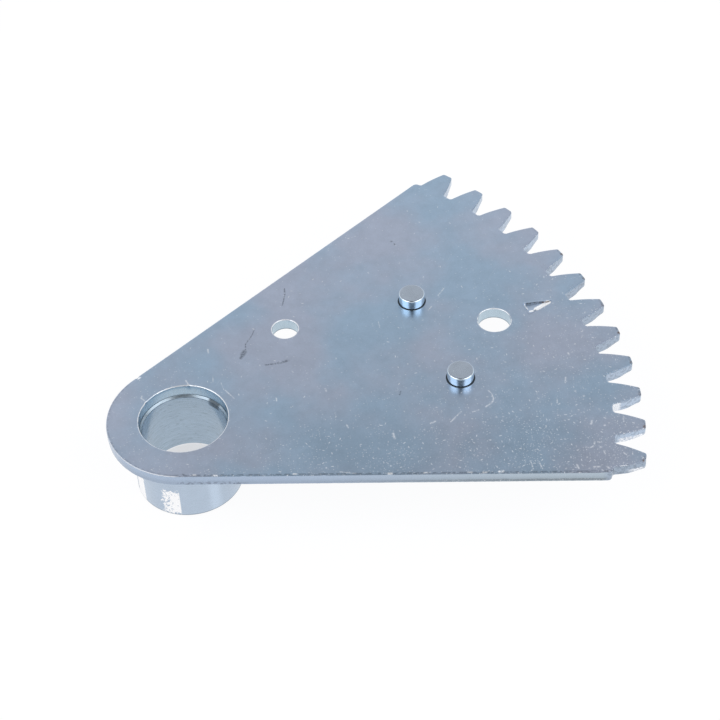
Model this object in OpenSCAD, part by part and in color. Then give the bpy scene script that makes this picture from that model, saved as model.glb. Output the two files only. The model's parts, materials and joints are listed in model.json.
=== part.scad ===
// Toothed sector with a welded pivot bush and two pressed pins.
// +Z runs along the pivot axis, with the pins up and the bush down. +X is the
// sector's line of symmetry, from the pivot to the teeth. The origin is on the
// pivot axis, in the plane of the bush's lower end.

/* [Teeth] */
// Module of the teeth, the pitch diameter divided by the tooth count
tooth_module = 4; // [3.5:0.25:5]
// Teeth that a full circle of this gear would have
full_circle_teeth = 65; // [60:1:90]
// Teeth on the sector
sector_teeth = 12; // [8:1:14]
// Pressure angle of the tooth flanks, in degrees
pressure_angle = 20; // [18:0.5:24]
// Height of the tooth tips above the pitch circle, in modules
tip_height = 1; // [0.8:0.05:1.1]
// Depth of the tooth spaces below the pitch circle, in modules
root_depth = 1.25; // [1.1:0.05:1.3]
// Rounding at the bottom corners of each tooth space
root_fillet = 1; // [0.4:0.1:1.2]
// Rounding at the tip corners of each tooth
tip_round = 0.8; // [0.2:0.1:1]

/* [Plate] */
// Thickness of the plate
plate_thickness = 3.8; // [2.5:0.1:6]
// Radius of the rounded end around the pivot
apex_radius = 22.5; // [20:0.5:30]
// Bare land on the root circle beyond each end tooth
end_land = 0.1; // [0.1:0.1:5]
// Rounding of the two outer corners
corner_round = 1.5; // [0.5:0.1:3]
// Width of the drawn-in rim at the top of each punched hole
hole_rim = 0.3; // [0.1:0.05:0.6]

/* [Link holes] */
// Diameter of the link hole on the line of symmetry
link_hole_d = 10; // [8:0.5:14]
// Distance of the link hole from the pivot axis
link_hole_x = 100.2; // [92:0.1:103]
// Diameter of the side hole
side_hole_d = 8; // [5:0.1:10]
// Distance of the side hole from the pivot axis, along the line of symmetry
side_hole_x = 40.4; // [36:0.2:60]
// Distance of the side hole from the line of symmetry
side_hole_y = 22.5; // [0:0.5:26]

/* [Timing mark] */
// Distance of the mark's base from the pivot axis
mark_x = 111.2; // [109:0.2:114]
// Length of the mark from its base to its point
mark_length = 8.8; // [4:0.2:9]
// Width of the mark at its base
mark_width = 4.6; // [2:0.2:8]
// Depth of the stamped mark
mark_depth = 0.7; // [0.3:0.1:1.5]
// Distance of the mark's middle from the line of symmetry
mark_shift = 0.5; // [-1:0.1:1]

/* [Pivot bush] */
// Outer diameter of the bush
bush_outer_d = 32; // [24:0.5:34]
// Wall of the bush between its outside and its bore
bush_wall = 3.5; // [2:0.25:6]
// Length of the bush below the plate
bush_length = 21.5; // [10:0.5:40]
// Chamfer at both mouths of the bore
bore_chamfer = 0.6; // [0.2:0.1:1]
// Chamfer on the outer edge of the lower end
end_chamfer = 0.5; // [0.2:0.1:1]
// How far the hole in the plate stands back from the bush's bore
bore_step = 0.6; // [0.2:0.1:1]
// Leg of the weld between the bush and the plate
weld_leg = 3; // [1:0.5:3]

/* [Pins] */
// Diameter of each pin
pin_d = 8; // [5:0.5:10]
// Height of each pin above the plate
pin_height = 3.4; // [2:0.1:12]
// Rounding of a pin's top edge
pin_round = 0.5; // [0.2:0.1:1]
// Width of the open seam round a pin, where its thicker pressed end meets the plate
pin_seam = 0.35; // [0.2:0.05:0.6]
// Chamfer of a pin's pressed end
pin_lead = 0.3; // [0.1:0.1:0.6]
// Distance of the pins from the pivot axis, along the line of symmetry
pin_x = 80.6; // [70:0.2:88]
// Distance of each pin from the line of symmetry
pin_y = 18; // [12:0.5:28]

/* [Hidden] */

$fn = 180;
// Steps along each flank and each rounded corner
flank_steps = 7;
round_steps = 5;
// How far a cut runs past a face
cut_past = 1;

pitch_angle = 360 / full_circle_teeth;
pitch_r = tooth_module * full_circle_teeth / 2;
base_r = pitch_r * cos(pressure_angle);
tip_r = pitch_r + tip_height * tooth_module;
root_r = pitch_r - root_depth * tooth_module;

plate_z = bush_length;
plate_top = plate_z + plate_thickness;
bush_r = bush_outer_d / 2;
bore_r = bush_r - bush_wall;
plate_hole_r = bore_r + bore_step;
pin_r = pin_d / 2;
pressed_r = pin_r + pin_seam;
pin_top = plate_top + pin_height;

// Rounding circles of the tooth roots and tips: an involute offset by a
// distance is the same involute turned by that distance over the base radius.
fillet_centre_r = root_r + root_fillet;
fillet_angle = half_tooth(fillet_centre_r) + arc_angle(root_fillet, base_r);
tip_centre_r = tip_r - tip_round;
tip_angle = half_tooth(tip_centre_r) - arc_angle(tip_round, base_r);

// Circle of the outer corner, and the normal of the straight side that is
// tangent to that circle and to the rounded end.
end_tooth_angle = (sector_teeth - 1) / 2 * pitch_angle;
corner_centre_r = root_r - corner_round;
corner_angle = end_tooth_angle + fillet_angle + arc_angle(end_land, root_r);
side_normal = corner_angle + acos((apex_radius - corner_round) / corner_centre_r);

function polar(r, a) = [r * cos(a), r * sin(a)];
function turned(points, a) =
    [for (p = points) [p.x * cos(a) - p.y * sin(a), p.x * sin(a) + p.y * cos(a)]];
function mirrored(points) = [for (i = [len(points) - 1 : -1 : 0]) [points[i].x, -points[i].y]];
function arc_angle(length, r) = length / r * 180 / PI;
function arc(centre, r, from, to) =
    [for (i = [0 : round_steps]) centre + polar(r, from + (to - from) * i / round_steps)];

// Involute function of the flank at a radius, in degrees
function involute(r) = let (a = acos(base_r / r)) tan(a) * 180 / PI - a;
// Half the angle that a tooth fills at a radius
function half_tooth(r) = 90 / full_circle_teeth + involute(pitch_r) - involute(r);
// Length of the line from a point at a radius to where it touches the base circle
function roll(r) = sqrt(r * r - base_r * base_r);
function roll_radius(length) = sqrt(length * length + base_r * base_r);
// Direction from a point back along that line, measured from its own radius
function roll_turn(r) = asin(base_r / r);

function flank() =
    let (start = roll(fillet_centre_r) - root_fillet, end = roll(tip_centre_r) + tip_round)
    [for (i = [1 : flank_steps - 1])
        let (r = roll_radius(start + (end - start) * i / flank_steps)) polar(r, half_tooth(r))];

// One tooth on the X axis, clockwise: root fillet, flank, tip rounding and tip, then the mirrored half
function tooth() =
    let (
        root_arc = arc(polar(fillet_centre_r, fillet_angle), root_fillet,
            fillet_angle - 180, fillet_angle - 180 + roll_turn(fillet_centre_r)),
        tip_arc = arc(polar(tip_centre_r, tip_angle), tip_round,
            tip_angle + roll_turn(tip_centre_r), tip_angle),
        half = concat(root_arc, flank(), tip_arc)
    )
    concat(half, [[tip_r, 0]], mirrored(half));

// Outline of the toothed rim, the outer corners and the straight sides, clockwise.
// It ends where the sides touch the rounded end around the pivot.
function outline() =
    let (
        rim = [for (i = [sector_teeth - 1 : -1 : 0])
            each turned(tooth(), i * pitch_angle - end_tooth_angle)],
        corner = arc(polar(corner_centre_r, -corner_angle), corner_round, -corner_angle, -side_normal)
    )
    concat(rim, corner, [polar(apex_radius, -side_normal), polar(apex_radius, side_normal)],
        mirrored(corner));

module blank() {
    cylinder(r = apex_radius, h = plate_thickness);
    linear_extrude(plate_thickness) polygon(outline());
}

// Hole punched from above: the rim is drawn in at the top face
module punched_hole(place, r) {
    translate([place.x, place.y, plate_z - cut_past])
        cylinder(r = r, h = plate_thickness + 2 * cut_past);
    translate([place.x, place.y, plate_top - hole_rim])
        cylinder(r1 = r, r2 = r + hole_rim + cut_past, h = hole_rim + cut_past);
}

module timing_mark() {
    translate([mark_x, mark_shift, plate_top - mark_depth])
        linear_extrude(mark_depth + cut_past)
            polygon([[0, -mark_width / 2], [mark_length, 0], [0, mark_width / 2]]);
}

module sector_plate() {
    color([0.60, 0.66, 0.73])
    difference() {
        translate([0, 0, plate_z]) blank();
        punched_hole([0, 0], plate_hole_r);
        punched_hole([link_hole_x, 0], link_hole_d / 2);
        punched_hole([side_hole_x, side_hole_y], side_hole_d / 2);
        for (side = [-1, 1])
            translate([pin_x, side * pin_y, plate_z - cut_past])
                cylinder(r = pressed_r, h = plate_thickness + 2 * cut_past);
        timing_mark();
    }
}

module pivot_bush() {
    color([0.66, 0.72, 0.80])
    rotate_extrude()
        polygon([
            [bore_r + bore_chamfer, 0], [bush_r - end_chamfer, 0], [bush_r, end_chamfer],
            [bush_r, bush_length], [bore_r + bore_chamfer, bush_length],
            [bore_r, bush_length - bore_chamfer], [bore_r, bore_chamfer],
        ]);
}

// Rounded bead in the corner between the bush and the underside of the plate
module hub_weld() {
    color([0.58, 0.62, 0.68])
    rotate_extrude()
        intersection() {
            translate([bush_r, bush_length]) circle(r = weld_leg);
            translate([bush_r, bush_length - weld_leg]) square(weld_leg);
        }
}

// Pin whose thicker end is pressed into the plate, flush with the underside
module pin(side) {
    shoulder_r = pin_r - pin_round;
    shoulder_z = pin_top - pin_round;
    color([0.78, 0.83, 0.88])
    translate([pin_x, side * pin_y, 0])
        rotate_extrude() {
            polygon([
                [0, plate_z], [pressed_r - pin_lead, plate_z], [pressed_r, plate_z + pin_lead],
                [pressed_r, plate_top - pin_seam], [pin_r, plate_top], [pin_r, shoulder_z],
                [shoulder_r, shoulder_z], [shoulder_r, pin_top], [0, pin_top],
            ]);
            translate([shoulder_r, shoulder_z]) circle(r = pin_round);
        }
}

module pin_left() { pin(1); }
module pin_right() { pin(-1); }

sector_plate();
pivot_bush();
hub_weld();
pin_left();
pin_right();
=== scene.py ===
"""Zinc plated sector gear: its plate, pivot bush, weld bead and pins, in a plain white studio."""

import json
import math

import bmesh
import bpy
from bpy.props import FloatProperty, FloatVectorProperty, IntProperty, PointerProperty
from mathutils import Matrix, Vector, noise


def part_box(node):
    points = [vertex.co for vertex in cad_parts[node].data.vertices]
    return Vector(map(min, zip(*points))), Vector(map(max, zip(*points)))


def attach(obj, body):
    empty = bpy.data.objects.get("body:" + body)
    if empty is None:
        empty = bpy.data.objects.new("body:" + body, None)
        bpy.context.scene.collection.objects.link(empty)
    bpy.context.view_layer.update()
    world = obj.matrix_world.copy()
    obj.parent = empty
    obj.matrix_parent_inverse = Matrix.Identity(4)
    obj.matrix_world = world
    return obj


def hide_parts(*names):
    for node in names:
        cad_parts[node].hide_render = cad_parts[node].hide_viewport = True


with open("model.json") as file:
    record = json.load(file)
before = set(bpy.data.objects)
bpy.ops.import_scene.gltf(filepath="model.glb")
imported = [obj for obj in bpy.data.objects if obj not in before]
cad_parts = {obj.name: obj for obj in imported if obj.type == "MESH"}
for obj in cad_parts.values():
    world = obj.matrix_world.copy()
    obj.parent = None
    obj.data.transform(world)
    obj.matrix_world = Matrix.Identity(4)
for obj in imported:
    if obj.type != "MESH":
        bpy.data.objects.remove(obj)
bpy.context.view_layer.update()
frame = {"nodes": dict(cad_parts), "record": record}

bl_info = {
    "name": "Sector Gear",
    "version": (1, 0, 0),
    "blender": (4, 5, 0),
    "location": "View3D > Sidebar > Sector Gear",
    "description": "Builds a zinc plated sector gear with its pivot bush, weld bead and pins",
    "category": "Add Mesh",
}

MM = 0.001
# Vertices closer than this are one vertex
MERGE_DISTANCE = 1e-6
# Edges whose faces turn by more than this are shaded sharp
SHARP_ANGLE = math.radians(35)
# A face is level when its normal is as upright as this
LEVEL = 0.999

MOUNTS = {mount["name"]: mount for mount in frame["record"]["mounts"]}
PLATE_LOW, PLATE_TOP = (corner.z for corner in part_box("sector_plate"))
# Material slots of the plate and of a pin
FACE, RIM, CUT, HOLE, STAMP = range(5)
PIN_WALL, PIN_TOP, PIN_SEAM = range(3)
# Faces of a pin as upright as this have the finish of its top
PIN_TOP_SLOPE = 0.75

# Radius of the rounded end, and the direction in which the near straight side faces
APEX_RADIUS = -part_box("sector_plate")[0].x
SIDE_TURN = math.radians(-113.1)
# Teeth of the sector, and of the full circle it is part of
SECTOR_TEETH, CIRCLE_TEETH = 12, 65
TIP_RADIUS = max(v.co.xy.length for v in frame["nodes"]["sector_plate"].data.vertices)


def mount_radius(name):
    return MOUNTS[name]["dims"]["r_mm"] * MM


def length(name, description, default):
    """A setting that is a length in metres."""
    return FloatProperty(name=name, description=description, default=default,
                         unit="LENGTH", subtype="DISTANCE", precision=6)


def share(name, description, default):
    """A setting from 0 to 1."""
    return FloatProperty(name=name, description=description, default=default,
                         min=0.0, max=1.0, subtype="FACTOR")


def angle(name, description, default):
    """A setting that is an angle, given here in degrees."""
    return FloatProperty(name=name, description=description, default=math.radians(default),
                         unit="ROTATION", subtype="ANGLE")


def brightness(name, description, default):
    """A setting that is a brightness, where 1 is white."""
    return FloatProperty(name=name, description=description, default=default, min=0.0)


def colour(name, description, default):
    """A setting that is a colour, in linear values."""
    return FloatVectorProperty(name=name, description=description, default=default,
                               size=3, min=0.0, max=1.0, subtype="COLOR")


def point(name, description, default):
    """A setting that is a place in metres."""
    return FloatVectorProperty(name=name, description=description, default=default,
                               size=3, unit="LENGTH", subtype="XYZ")


class PlateSettings(bpy.types.PropertyGroup):
    """Shape and finish of the blanked plate."""

    step: length("Edge Step", "Spacing of the points along the plate's edges", 0.45 * MM)
    roll_width: length("Roll Width", "How far the rolled top edge reaches across the face", 0.28 * MM)
    roll_depth: length("Roll Depth", "How far the rolled top edge reaches down the wall", 0.24 * MM)
    rim_width: length("Rim Width", "Width of the rounded rim of each punched hole", 0.3 * MM)
    break_share: share("Break Height", "Share of the thickness that broke away rough", 0.34)
    break_depth: length("Break Depth", "How far the broken band falls back at the underside", 0.12 * MM)
    break_rough: length("Break Roughness", "Height of the lumps in the broken band", 0.05 * MM)
    tip_roll: length("Tip Roll", "How far the lower edge falls back at the tooth tips", 0.7 * MM)
    nick_fall: length("Nick Fall", "How far a nick in the top edge reaches down the wall", 1.2 * MM)
    lip_height: length("Mark Lip", "Height of the metal raised round the stamped mark", 0.07 * MM)
    lip_width: length("Mark Lip Width", "Width of the metal raised round the stamped mark", 0.6 * MM)
    mark_depth: length("Mark Depth", "Depth of the stamped mark at its deep end", 0.7 * MM)
    lilac: colour("Lilac Zinc", "Zinc where the film on it looks lilac", (0.43, 0.49, 0.62))
    teal: colour("Teal Zinc", "Zinc where the film on it looks blue green", (0.36, 0.485, 0.635))
    sheared: colour("Sheared Zinc", "Zinc on the sheared wall by the pivot", (0.38, 0.465, 0.595))
    sheared_end: colour("Sheared End", "Zinc on the sheared wall by the teeth", (0.41, 0.485, 0.555))
    flank: colour("Flank Zinc", "Zinc on the tooth flanks", (0.455, 0.545, 0.67))
    punched: colour("Punched Zinc", "Zinc on the walls of the punched holes", (0.51, 0.63, 0.72))
    # Also the colour of the painted highlights on hole rims, on the rolled edge round the rounded end and on
    # the stamped mark's near brink
    wear_and_highlight: colour("Worn Metal", "Bare bright metal in scratches and on rims", (0.93, 0.95, 0.98))
    # Also the colour of the painted shade along the near top edge and under the stamped mark's far brink,
    # and of the dark line at each hole wall's foot
    grime_and_shade: colour("Grime", "Dark dirt in scuffs and corners", (0.05, 0.06, 0.075))
    rust: colour("Rust", "Brown spots on the tooth tips and in the mark", (0.12, 0.07, 0.05))
    gloss: share("Roughness", "Roughness of the flat faces", 0.26)


class BushSettings(bpy.types.PropertyGroup):
    """Shape and finish of the turned bush."""

    steps: IntProperty(name="Steps", description="Steps round the bush", default=180, min=24)
    mouth: length("Mouth Chamfer", "Chamfer at both mouths of the bore", 0.6 * MM)
    end: length("End Chamfer", "Chamfer on the outer edge of the lower end", 0.5 * MM)
    groove_step: length("Groove Step", "Spacing of the tool's marks in the bore", 0.16 * MM)
    groove_depth: length("Groove Depth", "Depth of the tool's marks in the bore", 0.012 * MM)
    edge_round: length("Edge Rounding", "Rounding of the chamfers' corners", 0.1 * MM)
    front: angle("Front", "Direction of the side from which the patches are measured", -110.0)
    outside: colour("Outer Zinc", "Colour of the turned outer wall", (0.475, 0.565, 0.68))
    inside: colour("Bore Zinc", "Colour of the turned bore", (0.45, 0.55, 0.645))
    # Colour of the painted highlights on the outer wall
    bright: colour("Bright Zinc", "Colour of the patches that were rubbed bright", (0.97, 0.97, 0.98))
    # Dirt at the bore's mouth, and also the colour of the painted shade at the outer wall's foot
    stain_and_foot_shade: colour("Stain", "Colour of the dirt at the bore's mouth", (0.06, 0.07, 0.08))


class WeldSettings(bpy.types.PropertyGroup):
    """Shape and finish of the weld bead."""

    steps: IntProperty(name="Steps", description="Steps round the bead", default=360, min=48)
    ripples: IntProperty(name="Ripples", description="Ripples round the bead", default=46, min=8)
    ripple_height: length("Ripple Height", "Height of each ripple of the bead", 0.22 * MM)
    zinc: colour("Zinc", "Colour of the plated bead", (0.36, 0.41, 0.48))


class PinSettings(bpy.types.PropertyGroup):
    """Shape and finish of the pressed pins."""

    steps: IntProperty(name="Steps", description="Steps round each pin", default=96, min=24)
    edge_round: length("Edge Rounding", "Rounding of the pin's top edge", 0.5 * MM)
    seam: length("Seam", "Width of the open seam round the pin's foot", 0.35 * MM)
    lead: length("Lead", "Chamfer of the pin's pressed end", 0.3 * MM)
    wall: colour("Bright Zinc", "Colour of the pins' ground walls", (0.66, 0.76, 0.84))
    top: colour("Top Zinc", "Colour of the pins' flat tops", (0.44, 0.51, 0.605))
    dirt: colour("Seam Dirt", "Colour of the dirt in the seam", (0.02, 0.028, 0.036))


class StudioSettings(bpy.types.PropertyGroup):
    """Camera, floor and light."""

    eye: point("Eye", "Where the camera stands", (-0.0827, -0.3628, PLATE_TOP + 0.3957))
    target: point("Target", "Where the camera looks", (0.0562, 0.0009, PLATE_TOP))
    roll: angle("Roll", "Turn of the camera about its own axis", -2.27)
    lens: FloatProperty(name="Lens", description="Focal length in millimetres, on a 36 mm sensor",
                        default=92.7, min=10.0)
    floor: colour("Floor", "Colour of the floor", (0.77, 0.78, 0.85))
    shadow: share("Shadow", "Share of the floor's look that takes the shadow", 0.09)
    bore_shadow: share("Bore Shadow", "The same share where the floor shows through the bore", 0.42)
    floor_glow: brightness("Floor Glow", "Brightness of the floor where it is seen, 1 is white", 1.03)
    lamp_size: length("Lamp Size", "Side of each square lamp", 0.78)
    lamp_distance: length("Lamp Distance", "Distance of each lamp from the target", 0.85)
    lamp_height: angle("Lamp Height", "How high each lamp stands above the floor", 43.0)
    lamp_glow: brightness("Lamp Glow", "Brightness of each lamp's face, 1 is white", 1.4)
    left_lamp: angle("Left Lamp", "Direction of the left lamp, counter-clockwise from the front", 278.0)
    right_lamp: angle("Right Lamp", "Direction of the right lamp, counter-clockwise from the front", 40.0)
    dimming: share("Ceiling Dimming", "How much darker the ceiling is than the walls", 0.5)
    band: angle("Camera Band", "Half width of the dark band behind the camera", 30.0)
    band_edge: angle("Band Edge", "Width of the soft edges of the dark band", 4.0)
    band_darkness: share("Band Darkness", "How much light the dark band takes away", 0.95)


class SectorGearSettings(bpy.types.PropertyGroup):
    """All the settings of the sector gear."""

    plate: PointerProperty(type=PlateSettings)
    bush: PointerProperty(type=BushSettings)
    weld: PointerProperty(type=WeldSettings)
    pins: PointerProperty(type=PinSettings)
    studio: PointerProperty(type=StudioSettings)


class Wire:
    """A node's output that takes part in Python arithmetic."""

    def __init__(self, nodes, socket):
        self.nodes = nodes
        self.socket = socket

    def math(self, operation, *values):
        return self.nodes.node("ShaderNodeMath", {"operation": operation}, dict(enumerate(values)))

    def __add__(self, other):
        return self.math("ADD", self, other)

    def __radd__(self, other):
        return self.math("ADD", other, self)

    def __sub__(self, other):
        return self.math("SUBTRACT", self, other)

    def __rsub__(self, other):
        return self.math("SUBTRACT", other, self)

    def __mul__(self, other):
        return self.math("MULTIPLY", self, other)

    def __rmul__(self, other):
        return self.math("MULTIPLY", other, self)

    def __lt__(self, other):
        return self.math("LESS_THAN", self, other)

    def __gt__(self, other):
        return self.math("GREATER_THAN", self, other)

    def __abs__(self):
        return self.math("ABSOLUTE", self)

    def __or__(self, other):
        return self.math("MAXIMUM", self, other)

    def __ror__(self, other):
        return self.math("MAXIMUM", other, self)


# Places of the colour sockets on a Mix node
MIX_A, MIX_B, MIX_RESULT = 6, 7, 2


class Nodes:
    """Adds nodes to a tree."""

    def __init__(self, tree):
        self.tree = tree
        tree.nodes.clear()

    def node(self, kind, settings=None, sockets=None, output=0):
        """Adds a node, sets it up, then fills or links its sockets, and returns one output."""
        made = self.tree.nodes.new(kind)
        for key, value in (settings or {}).items():
            setattr(made, key, value)
        for key, value in (sockets or {}).items():
            if isinstance(value, Wire):
                self.tree.links.new(value.socket, made.inputs[key])
            else:
                made.inputs[key].default_value = value
        return Wire(self, made.outputs[output]) if made.outputs else None

    def place(self):
        return self.node("ShaderNodeTexCoord", output="Object")

    def flat(self, place):
        """A place brought down to the XY plane."""
        return self.vector("MULTIPLY", place, (1.0, 1.0, 0.0))

    def parts(self, vector):
        split = self.node("ShaderNodeSeparateXYZ", sockets={0: vector})
        outputs = split.socket.node.outputs
        return [Wire(self, outputs[axis]) for axis in "XYZ"]

    def vector(self, operation, *values, output=0):
        return self.node("ShaderNodeVectorMath", {"operation": operation}, dict(enumerate(values)), output)

    def scaled(self, vector, factor):
        return self.node("ShaderNodeVectorMath", {"operation": "SCALE"},
                         {"Vector": vector, "Scale": factor})

    def length(self, vector):
        return self.vector("LENGTH", vector, output="Value")

    def dot(self, first, second):
        return self.vector("DOT_PRODUCT", first, second, output="Value")

    def noise(self, place, size, detail=2.0):
        """Cloudy noise from 0 to 1 with lumps of a size in metres."""
        return self.node("ShaderNodeTexNoise", None,
                         {"Vector": place, "Scale": 1.0 / size, "Detail": detail, "Roughness": 0.5})

    def ease(self, value, low, high):
        """0 below low, 1 above high and smooth between them; low may be the greater."""
        return self.node("ShaderNodeMapRange", {"interpolation_type": "SMOOTHSTEP"},
                         {"Value": value, "From Min": low, "From Max": high})

    def between(self, value, low, high, soft):
        """1 between two limits, fading out over a soft margin."""
        return self.ease(value, low - soft, low + soft) * self.ease(value, high + soft, high - soft)

    def mix(self, factor, first, second):
        """Blends two colours."""
        pair = [value if isinstance(value, Wire) else (*value, 1.0) for value in (first, second)]
        return self.node("ShaderNodeMix", {"data_type": "RGBA"},
                         {"Factor": factor, MIX_A: pair[0], MIX_B: pair[1]}, MIX_RESULT)


def new_finish(name):
    """A material and its node builder."""
    material = bpy.data.materials.new(name)
    material.use_nodes = True
    return material, Nodes(material.node_tree)


def coat(nodes, sockets):
    """Ends a material in a metal shader with the given sockets."""
    shader = nodes.node("ShaderNodeBsdfPrincipled", None, sockets)
    nodes.node("ShaderNodeOutputMaterial", None, {"Surface": shader})


def bump(nodes, height, depth):
    """A normal from a height of 0 to 1 that stands for a depth in metres."""
    return nodes.node("ShaderNodeBump", None, {"Strength": 1.0, "Distance": depth, "Height": height})


def flecks(nodes, flat, cell, long, wide, amount):
    """Short straight marks in all directions, at most one in each cell, seen from above."""
    cells = nodes.node("ShaderNodeTexVoronoi", {"voronoi_dimensions": "2D"},
                       {"Vector": flat, "Scale": 1.0 / cell, "Randomness": 1.0}, "Position")
    lottery = Wire(nodes, cells.socket.node.outputs["Color"])
    turn, chosen, size = nodes.parts(lottery)
    x, y, _ = nodes.parts(nodes.vector("SUBTRACT", flat, cells))
    heading = turn * (2 * math.pi)
    cosine, sine = heading.math("COSINE", heading), heading.math("SINE", heading)
    along = abs(x * cosine + y * sine)
    across = abs(y * cosine - x * sine)
    reach = long * (0.35 + 0.65 * size)
    body = nodes.ease(along, reach, 0.4 * reach) * nodes.ease(across, wide, 0.2 * wide)
    return body * (chosen < amount) * (0.3 + 0.7 * size)


# Shares of its half width between which a stroke fades out
STROKE_FULL, STROKE_END = 0.1, 1.15
# Size of the gaps that break up strokes
STROKE_GAP = 0.6 * MM


def stroke(nodes, flat, start, end, wide):
    """A soft line between two points seen from above, in millimetres; equal points make a dot."""
    first, last = Vector((*start, 0.0)) * MM, Vector((*end, 0.0)) * MM
    offset = nodes.vector("SUBTRACT", flat, first)
    reach = last - first
    if reach.length > MERGE_DISTANCE:
        along = nodes.dot(offset, reach / reach.length_squared)
        held = nodes.node("ShaderNodeClamp", None, {"Value": along})
        offset = nodes.vector("SUBTRACT", offset, nodes.scaled(reach, held))
    gap = nodes.length(offset)
    return nodes.ease(gap, STROKE_END * wide * MM, STROKE_FULL * wide * MM)


def strokes(nodes, place, flat, lines, broken=0.8):
    """The strongest of several strokes at each point, partly broken up by fine noise."""
    found = 0.0
    for start, end, wide in lines:
        found = found | stroke(nodes, flat, start, end, wide)
    gaps = nodes.ease(nodes.noise(place, STROKE_GAP, 2.0), 0.56, 0.36)
    return found * (1.0 - broken * gaps)


# Bright scratches and dots on the top face: start and end in millimetres, and half width
SCRATCHES = [
    ((5.6, 14.1), (5.8, 11.8), 0.35), ((-8.8, 12.8), (-8.1, 10.8), 0.35),
    ((15.0, 5.6), (16.3, 1.4), 0.25), ((14.9, 9.0), (14.7, 6.0), 0.15),
    ((13.6, 12.6), (12.8, 10.2), 0.2), ((15.9, 23.8), (15.6, 22.4), 0.35),
    ((92.2, 19.3), (89.0, 16.9), 0.25), ((85.2, 13.3), (83.6, 12.2), 0.25),
    ((67.6, 13.8), (67.0, 11.2), 0.15), ((70.6, -33.0), (75.0, -30.6), 0.3),
    ((78.0, -32.0), (80.0, -32.0), 0.25), ((82.4, -31.7), (83.9, -31.3), 0.35),
    ((83.9, -31.3), (85.3, -30.5), 0.38), ((85.3, -30.5), (85.9, -29.5), 0.35),
    ((85.9, -29.5), (86.2, -27.5), 0.25), ((86.2, -27.5), (85.8, -26.0), 0.22),
    ((109.0, -30.5), (107.9, -32.4), 0.35), ((102.6, -37.7), (102.0, -38.8), 0.3),
    ((114.1, -22.5), (114.3, -21.7), 0.4), ((53.2, -32.4), (53.6, -30.4), 0.45),
    ((65.0, -31.2), (66.6, -31.0), 0.4), ((42.2, -6.9), (42.3, -5.8), 0.35),
    ((42.6, -23.0), (42.6, -21.9), 0.35), ((27.4, -4.6), (27.7, -3.6), 0.3),
    ((34.1, -37.8), (37.9, -40.1), 0.28), ((31.1, -34.8), (31.1, -34.8), 0.4),
    ((48.0, -41.5), (48.0, -41.5), 0.45), ((85.0, -55.8), (84.4, -58.8), 0.25),
    ((87.0, -57.0), (86.8, -59.8), 0.3), ((92.8, -62.5), (92.8, -62.5), 0.4),
    ((96.3, -62.3), (96.2, -63.9), 0.35), ((100.2, -65.0), (101.9, -65.7), 0.4),
    ((104.1, -67.2), (103.8, -66.5), 0.4), ((109.0, -36.6), (109.0, -36.6), 0.5),
    ((110.4, -39.5), (110.4, -39.5), 0.5), ((110.5, -52.2), (110.5, -52.2), 0.5),
    ((108.0, -49.2), (107.2, -50.1), 0.5), ((117.1, -51.4), (116.1, -53.2), 0.3),
    ((104.8, -56.8), (104.4, -57.5), 0.35), ((105.7, -57.1), (106.6, -57.7), 0.3),
    ((101.7, -57.5), (101.7, -57.5), 0.4), ((102.9, -58.2), (103.8, -58.0), 0.35),
    ((105.5, -59.2), (105.5, -59.2), 0.5), ((105.7, -60.8), (105.5, -62.0), 0.3),
    ((99.0, -57.6), (99.0, -57.6), 0.4), ((111.0, -65.2), (110.5, -63.8), 0.35),
    ((111.8, -62.3), (111.8, -62.3), 0.4),
]
# Places along the near top edge that were knocked bright, in the same way
EDGE_RUBS = [
    ((-4.5, -22.0), (-3.9, -22.3), 0.4), ((0.9, -24.5), (1.7, -24.9), 0.4),
    ((21.6, -33.1), (22.4, -33.5), 0.35), ((46.3, -43.8), (47.2, -44.2), 0.5),
    ((55.6, -47.7), (56.4, -48.0), 0.35), ((66.9, -52.5), (68.1, -53.0), 0.3),
    ((71.0, -54.3), (71.8, -54.6), 0.45), ((75.2, -55.9), (76.1, -56.3), 0.5),
    ((-7.3, 20.5), (-6.5, 20.9), 0.45),
]
# Dark scuffs on the top face, in the same way
SCUFFS = [
    ((26.2, 18.9), (27.2, 21.4), 0.3), ((27.2, 21.4), (30.0, 23.8), 0.3),
    ((30.0, 23.8), (32.0, 26.3), 0.22), ((29.6, 10.5), (32.4, 9.8), 0.5),
    ((33.4, 9.7), (36.4, 9.5), 0.7), ((46.6, 39.4), (45.7, 36.6), 0.35),
    ((45.7, 36.6), (43.4, 32.6), 0.28), ((85.6, 46.0), (85.7, 45.7), 0.6),
    ((86.1, 44.5), (86.1, 44.1), 0.4), ((62.2, -16.0), (61.4, -17.0), 0.35),
    ((-7.3, -20.6), (-6.9, -20.9), 0.5), ((8.6, -27.9), (9.2, -28.1), 0.5),
    ((29.3, -37.3), (29.9, -37.5), 0.5), ((52.8, -46.8), (53.5, -47.0), 0.4),
    ((100.7, -68.0), (104.0, -69.2), 0.4),
]
# Dark smudges on the top face, in the same way
SMUDGES = [((25.7, 18.3), (24.8, 17.4), 1.0), ((24.6, 17.0), (23.8, 16.2), 0.7)]
# Nicks in the top edge that take metal away: place in millimetres, reach and depth
NICKS = [
    (8.6, -27.9, 0.9, 0.35), (29.3, -37.3, 0.9, 0.35), (46.3, -43.8, 1.0, 0.3), (53.0, -46.9, 0.7, 0.25),
    (71.0, -54.4, 0.8, 0.25), (75.2, -56.1, 1.0, 0.3), (102.4, -68.8, 1.6, 0.3), (114.9, -68.9, 1.3, 0.7),
    (-7.3, 21.3, 0.9, 0.3), (-8.1, 10.6, 0.8, 0.25), (5.8, 12.0, 0.8, 0.25),
]
# Bright torn places on the tooth flanks, in the way of the scratches
TORN_FLANKS = [((113.3, -57.0), (121.5, -58.0), 1.2), ((108.0, -69.5), (115.5, -68.9), 1.2)]
BARE_ROOT = [((117.0, -45.8), (118.3, -46.0), 1.0)]
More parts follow.
